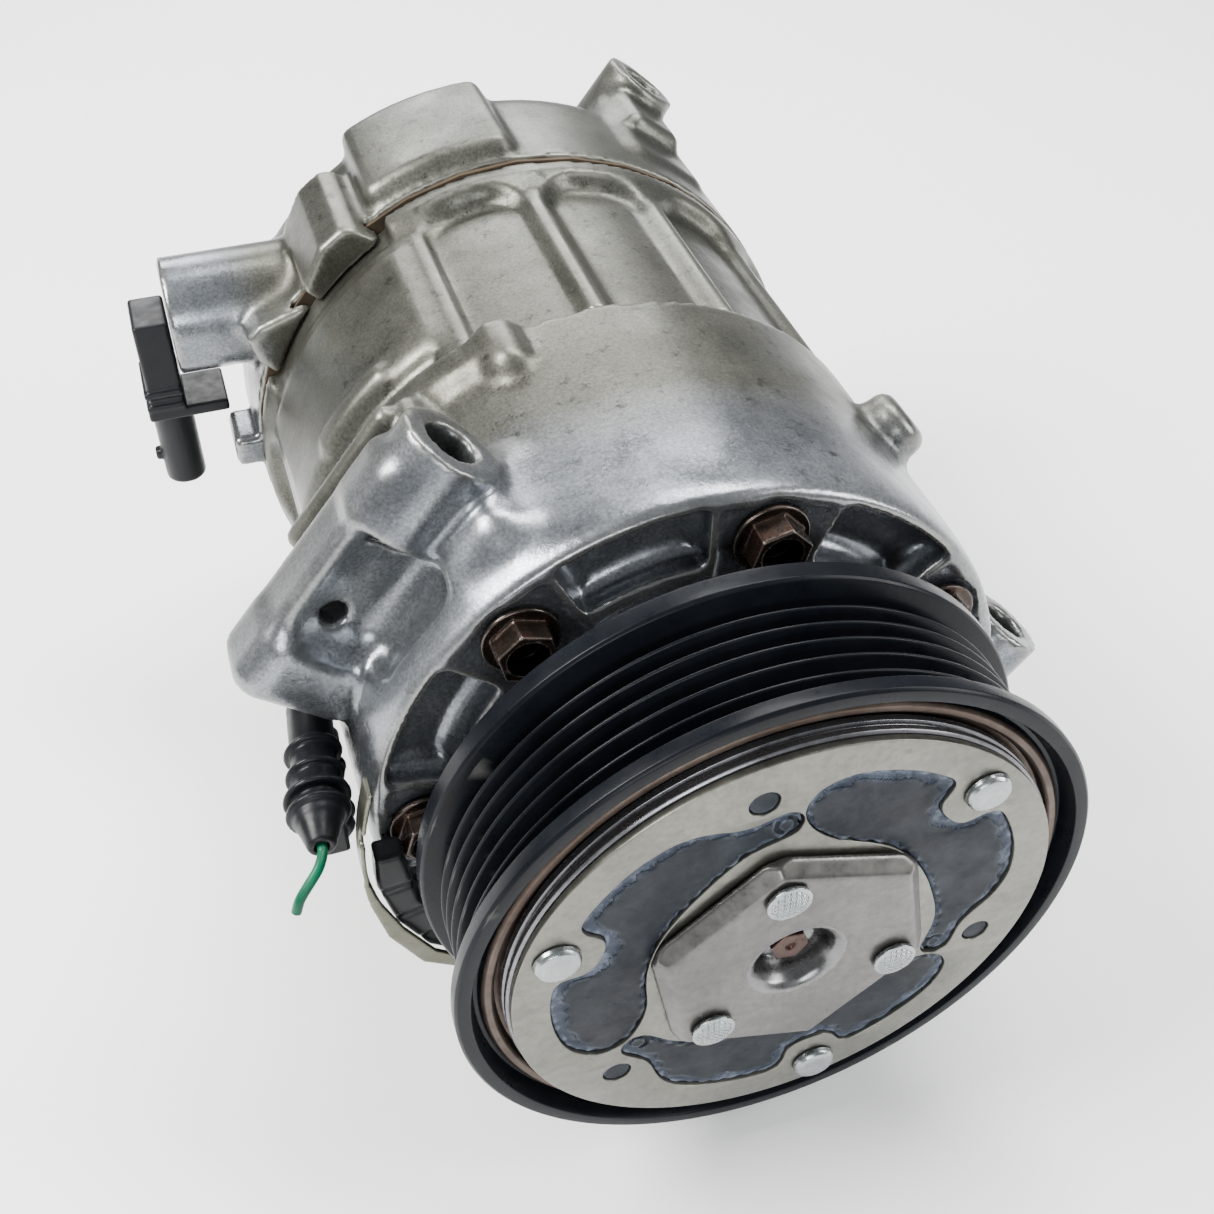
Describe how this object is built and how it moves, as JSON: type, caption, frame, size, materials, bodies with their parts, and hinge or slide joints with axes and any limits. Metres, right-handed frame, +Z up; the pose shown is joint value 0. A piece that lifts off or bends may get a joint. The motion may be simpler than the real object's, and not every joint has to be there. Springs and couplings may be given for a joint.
{
  "type": "automotive air-conditioning compressor",
  "caption": "Piston compressor for car air conditioning: belt pulley and magnetic clutch in front of a ribbed cast body with mounting ears, a control valve and hose ports behind.",
  "frame": {"origin": "on the shaft axis, in the plane of the front flange of the pulley", "axes": "+Y along the shaft from the pulley to the rear head, +Z up, +X to the right seen from the pulley"},
  "size_m": [0.1679, 0.2105, 0.13],
  "materials": {
    "cast_aluminium": "shot-blasted casting",
    "machined_aluminium": "machined",
    "black_paint": "semi-gloss black over steel",
    "phosphated_steel": "phosphated, lightly worn",
    "bright_steel": "ground",
    "zinc_plate": "zinc plated",
    "dark_bolt_steel": "dark phosphate",
    "brown_bolt": "brown, lightly rusted",
    "slate_rubber": "moulded",
    "black_plastic": "moulded",
    "varnished_copper": "varnished copper wire",
    "brown_gasket": "beaded gasket",
    "pale_yellow_zinc": "pale yellow zinc",
    "green_insulation": "wire insulation"
  },
  "bodies": {
    "casing": {"front_housing": "cast_aluminium", "centre_housing": "cast_aluminium", "rear_head": "cast_aluminium", "head_gasket": "brown_gasket", "suction_reed_plate": "bright_steel", "valve_plate": "phosphated_steel", "discharge_reed_plate": "bright_steel", "housing_bolt_1": "dark_bolt_steel", "housing_bolt_2": "dark_bolt_steel", "housing_bolt_3": "dark_bolt_steel", "housing_bolt_4": "dark_bolt_steel", "housing_bolt_5": "dark_bolt_steel", "housing_bolt_6": "dark_bolt_steel", "housing_bolt_7": "dark_bolt_steel", "coil_shell": "bright_steel", "coil_winding": "varnished_copper", "bearing_inner_race": "bright_steel", "shaft_seal": "slate_rubber", "front_shaft_bearing": "bright_steel", "rear_shaft_bearing": "bright_steel", "guide_rail": "bright_steel", "control_valve": "bright_steel", "control_valve_connector": "black_plastic", "relief_valve": "bright_steel", "coil_connector": "black_plastic", "connector_bracket": "pale_yellow_zinc", "coil_wire": "green_insulation"},
    "pulley_assembly": {"pulley": "black_paint", "bearing_outer_race": "bright_steel"},
    "shaft_assembly": {"shaft": "bright_steel", "clutch_bolt": "brown_bolt", "clutch_hub": "phosphated_steel", "drive_lug_plate": "phosphated_steel", "pivot_sleeve": "bright_steel", "hub_rivet_1": "zinc_plate", "hub_rivet_2": "zinc_plate", "hub_rivet_3": "zinc_plate"},
    "armature": {"drive_plate": "phosphated_steel", "damper_rubber": "slate_rubber", "armature_plate": "bright_steel", "armature_rivet_1": "zinc_plate", "armature_rivet_2": "zinc_plate", "armature_rivet_3": "zinc_plate"},
    "wobble": {"wobble_plate": "machined_aluminium"},
    "journal_rotor": {"journal": "phosphated_steel"},
    "cylinder_1_piston": {"piston_1": "machined_aluminium", "connecting_rod_1": "bright_steel"},
    "cylinder_2_piston": {"piston_2": "machined_aluminium", "connecting_rod_2": "bright_steel"},
    "cylinder_3_piston": {"piston_3": "machined_aluminium", "connecting_rod_3": "bright_steel"},
    "cylinder_4_piston": {"piston_4": "machined_aluminium", "connecting_rod_4": "bright_steel"},
    "cylinder_5_piston": {"piston_5": "machined_aluminium", "connecting_rod_5": "bright_steel"},
    "cylinder_6_piston": {"piston_6": "machined_aluminium", "connecting_rod_6": "bright_steel"},
    "cylinder_7_piston": {"piston_7": "machined_aluminium", "connecting_rod_7": "bright_steel"}
  },
  "joints": [
    {"name": "pulley_spin", "type": "hinge", "parent": "casing", "child": "pulley_assembly", "pos_m": [0, 0.015, 0], "axis": [0, 1, 0], "continuous": true},
    {"name": "shaft_spin", "type": "hinge", "parent": "casing", "child": "shaft_assembly", "pos_m": [0, 0.06, 0], "axis": [0, 1, 0], "continuous": true},
    {"name": "armature_travel", "type": "slide", "parent": "shaft_assembly", "child": "armature", "axis": [0, 1, 0], "range_m": [0, 0.0005], "stiffness_N_per_m": 30000},
    {"name": "wobble_tilt", "type": "hinge", "parent": "casing", "child": "wobble", "pos_m": [0, 0.095, 0], "axis": [0.9727, 0, 0.232], "range_deg": [-17, 17]},
    {"name": "journal_spin", "type": "hinge", "parent": "wobble", "child": "journal_rotor", "pos_m": [0, 0.095, 0], "axis": [0, 1, 0], "continuous": true},
    {"name": "piston_1_stroke", "type": "slide", "parent": "casing", "child": "cylinder_1_piston", "axis": [0, 1, 0], "range_m": [-0.01103, 0.01103]},
    {"name": "piston_2_stroke", "type": "slide", "parent": "casing", "child": "cylinder_2_piston", "axis": [0, 1, 0], "range_m": [-0.0069, 0.0069]},
    {"name": "piston_3_stroke", "type": "slide", "parent": "casing", "child": "cylinder_3_piston", "axis": [0, 1, 0], "range_m": [-0.00249, 0.00249]},
    {"name": "piston_4_stroke", "type": "slide", "parent": "casing", "child": "cylinder_4_piston", "axis": [0, 1, 0], "range_m": [-0.00994, 0.00994]},
    {"name": "piston_5_stroke", "type": "slide", "parent": "casing", "child": "cylinder_5_piston", "axis": [0, 1, 0], "range_m": [-0.00994, 0.00994]},
    {"name": "piston_6_stroke", "type": "slide", "parent": "casing", "child": "cylinder_6_piston", "axis": [0, 1, 0], "range_m": [-0.00249, 0.00249]},
    {"name": "piston_7_stroke", "type": "slide", "parent": "casing", "child": "cylinder_7_piston", "axis": [0, 1, 0], "range_m": [-0.0069, 0.0069]}
  ],
  "couplings": [
    {"joint": "journal_spin", "follows": "shaft_spin", "ratio": 1},
    {"joint": "piston_1_stroke", "follows": "wobble_tilt", "m_per_rad": -0.037},
    {"joint": "piston_2_stroke", "follows": "wobble_tilt", "m_per_rad": -0.023069},
    {"joint": "piston_3_stroke", "follows": "wobble_tilt", "m_per_rad": 0.0082333},
    {"joint": "piston_4_stroke", "follows": "wobble_tilt", "m_per_rad": 0.033336},
    {"joint": "piston_5_stroke", "follows": "wobble_tilt", "m_per_rad": 0.033336},
    {"joint": "piston_6_stroke", "follows": "wobble_tilt", "m_per_rad": 0.0082333},
    {"joint": "piston_7_stroke", "follows": "wobble_tilt", "m_per_rad": -0.023069}
  ]
}
